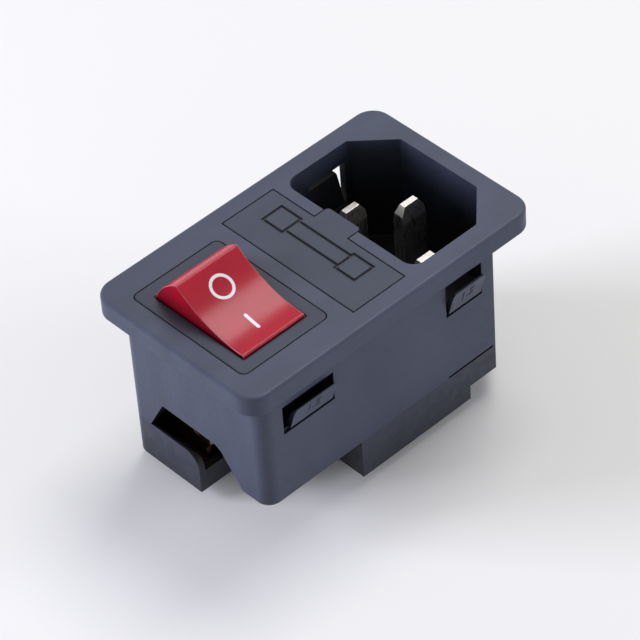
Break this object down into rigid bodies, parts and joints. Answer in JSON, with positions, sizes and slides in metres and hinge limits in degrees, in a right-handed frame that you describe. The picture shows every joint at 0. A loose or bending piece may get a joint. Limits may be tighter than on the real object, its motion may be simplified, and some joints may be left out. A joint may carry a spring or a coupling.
{
  "type": "power entry module",
  "caption": "Snap-in panel power inlet with lit rocker switch and pull-out fuse drawer in one rectangular flange.",
  "frame": {"origin": "centre of the bounding box's bottom, on the plane of the two small rear ribs", "axes": "+Z out of the front face, +X along the flange towards the inlet, +Y across the flange"},
  "size_m": [0.05, 0.03, 0.0345],
  "materials": {
    "shell": "satin moulded dark blue-grey nylon",
    "cover": "fine-textured moulded black-grey nylon",
    "red_plastic": "translucent red polycarbonate",
    "nickel": "nickel-plated brass",
    "brass": "stamped brass, lightly dulled",
    "copper": "stamped copper alloy",
    "silver": "silver contact faces",
    "spring_steel": "bright spring wire",
    "lead_wire": "tinned copper wire",
    "fuse_wire": "tinned copper fuse wire",
    "resistor_body": "lacquered resistor body",
    "glass": "clear glass"
  },
  "bodies": {
    "module": {"housing": "shell", "rear_cover": "cover", "line_pin": "nickel", "neutral_pin": "nickel", "earth_pin": "nickel", "earth_tab": "brass", "line_contact": "brass", "load_contact": "copper", "neutral_strap": "copper", "switch_frame": "shell", "line_in_terminal": "brass", "line_out_terminal": "brass", "line_fixed_contact": "silver", "neutral_in_terminal": "brass", "neutral_out_terminal": "brass", "neutral_fixed_contact": "silver"},
    "drawer_unit": {"fuse_drawer": "shell", "fuse_glass": "glass", "fuse_wire": "fuse_wire", "fuse_cap_line": "nickel", "fuse_cap_load": "nickel"},
    "rocker_unit": {"rocker": "red_plastic", "line_plunger": "brass", "line_spring": "spring_steel", "neutral_plunger": "brass", "neutral_spring": "spring_steel", "neon_lamp": "glass", "lamp_lead_neutral": "lead_wire", "lamp_lead_line": "lead_wire", "resistor_lead": "lead_wire", "lamp_resistor": "resistor_body"},
    "line_blade_unit": {"line_blade": "copper", "line_moving_contact": "silver"},
    "neutral_blade_unit": {"neutral_blade": "copper", "neutral_moving_contact": "silver"}
  },
  "joints": [
    {"name": "rocker_hinge", "type": "hinge", "parent": "module", "child": "rocker_unit", "pos_m": [-0.0147, 0, 0.0266], "axis": [-1, 0, 0], "range_deg": [0, 40]},
    {"name": "drawer_slide", "type": "slide", "parent": "module", "child": "drawer_unit", "axis": [0, 0, 1], "range_m": [0, 0.012]},
    {"name": "line_blade_hinge", "type": "hinge", "parent": "module", "child": "line_blade_unit", "pos_m": [-0.0113, 0, 0.0194], "axis": [1, 0, 0], "range_deg": [0, 14]},
    {"name": "neutral_blade_hinge", "type": "hinge", "parent": "module", "child": "neutral_blade_unit", "pos_m": [-0.0181, 0, 0.0194], "axis": [1, 0, 0], "range_deg": [0, 14]}
  ],
  "couplings": [
    {"joint": "line_blade_hinge", "follows": "rocker_hinge", "ratio": 0.35},
    {"joint": "neutral_blade_hinge", "follows": "rocker_hinge", "ratio": 0.35}
  ]
}
